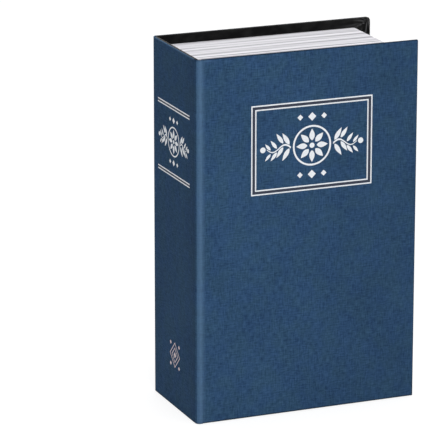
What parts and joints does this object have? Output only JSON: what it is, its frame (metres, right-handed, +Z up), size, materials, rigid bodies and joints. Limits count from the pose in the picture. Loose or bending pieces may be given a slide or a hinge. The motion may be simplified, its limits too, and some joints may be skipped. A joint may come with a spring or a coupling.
{
  "type": "book diversion safe",
  "caption": "Steel strongbox hidden in a hardback book: cloth covers, page-edge strips, and under the front cover a stepped lid on a piano hinge with a combination lock.",
  "frame": {"origin": "centre of the closed book's tail, on the surface that it stands on", "axes": "+Z up along the spine, +X from the spine to the fore-edge, +Y from the front cover to the back cover"},
  "size_m": [0.115, 0.057, 0.18],
  "materials": {
    "book_cloth": "dark blue woven book cloth",
    "grey_board": "raw grey binder's board",
    "black_lining": "black leather-grained lining paper",
    "endpaper": "plain white endpaper",
    "page_plastic": "matt white, grooved like page edges",
    "black_paint": "matt black powder coat",
    "hammered_paint": "dark grey hammered enamel",
    "lock_black": "black, half gloss",
    "gilt": "bright gilt line",
    "book_foil": "white and silver foil, stamped through the weave",
    "mark_white": "white print",
    "bright_steel": "nickel plated",
    "cast_zinc": "bright zinc, cast and plated",
    "brass": "turned brass"
  },
  "bodies": {
    "case": {"case_cloth": "book_cloth", "spine_board": "grey_board", "spine_lining": "black_lining", "back_board": "grey_board", "back_lining": "black_lining", "page_strip_head": "page_plastic", "page_strip_tail": "page_plastic", "page_strip_fore_edge": "page_plastic", "strongbox": "black_paint", "front_frame": "black_paint", "frame_rivet_1": "bright_steel", "frame_rivet_2": "bright_steel", "frame_rivet_3": "bright_steel", "frame_rivet_4": "bright_steel", "frame_rivet_5": "bright_steel", "frame_rivet_6": "bright_steel", "hinge_leaf": "hammered_paint", "hinge_pin": "bright_steel"},
    "joint_strip": {"corner_cloth": "book_cloth"},
    "front_cover": {"front_cloth": "book_cloth", "front_board": "grey_board", "front_endpaper": "endpaper"},
    "box_lid": {"lid": "hammered_paint", "lock_face_plate": "lock_black", "lock_trim": "gilt", "lock_body": "lock_black", "wheel_axle": "bright_steel", "clamp_strap": "bright_steel"},
    "dial_1": {"number_wheel_1": "lock_black"},
    "dial_2": {"number_wheel_2": "lock_black"},
    "dial_3": {"number_wheel_3": "lock_black"},
    "knob_and_cam": {"lock_knob": "lock_black", "lock_spindle": "bright_steel", "lock_cam": "cast_zinc", "cam_washer": "lock_black", "cam_screw": "brass"}
  },
  "joints": [
    {"name": "lid_hinge", "type": "hinge", "parent": "case", "child": "box_lid", "pos_m": [-0.05255, -0.0238, 0.09], "axis": [0, 0, -1], "range_deg": [0, 105]},
    {"name": "cover_fold", "type": "hinge", "parent": "case", "child": "joint_strip", "pos_m": [-0.0575, -0.0255, 0.09], "axis": [0, 0, -1], "range_deg": [0, 105]},
    {"name": "cover_hinge", "type": "hinge", "parent": "joint_strip", "child": "front_cover", "pos_m": [-0.0545, -0.0285, 0.09], "axis": [0, 0, -1], "range_deg": [0, 155]},
    {"name": "dial_1_turn", "type": "hinge", "parent": "box_lid", "child": "dial_1", "pos_m": [0.0197, -0.01365, 0.1159], "axis": [0, 0, 1], "continuous": true},
    {"name": "dial_2_turn", "type": "hinge", "parent": "box_lid", "child": "dial_2", "pos_m": [0.0197, -0.01365, 0.1098], "axis": [0, 0, 1], "continuous": true},
    {"name": "dial_3_turn", "type": "hinge", "parent": "box_lid", "child": "dial_3", "pos_m": [0.0197, -0.01365, 0.1037], "axis": [0, 0, 1], "continuous": true},
    {"name": "knob_turn", "type": "hinge", "parent": "box_lid", "child": "knob_and_cam", "pos_m": [0.0203, -0.0186, 0.0869], "axis": [0, -1, 0], "range_deg": [0, 90]}
  ],
  "couplings": [
    {"joint": "cover_fold", "follows": "lid_hinge", "ratio": 1}
  ]
}
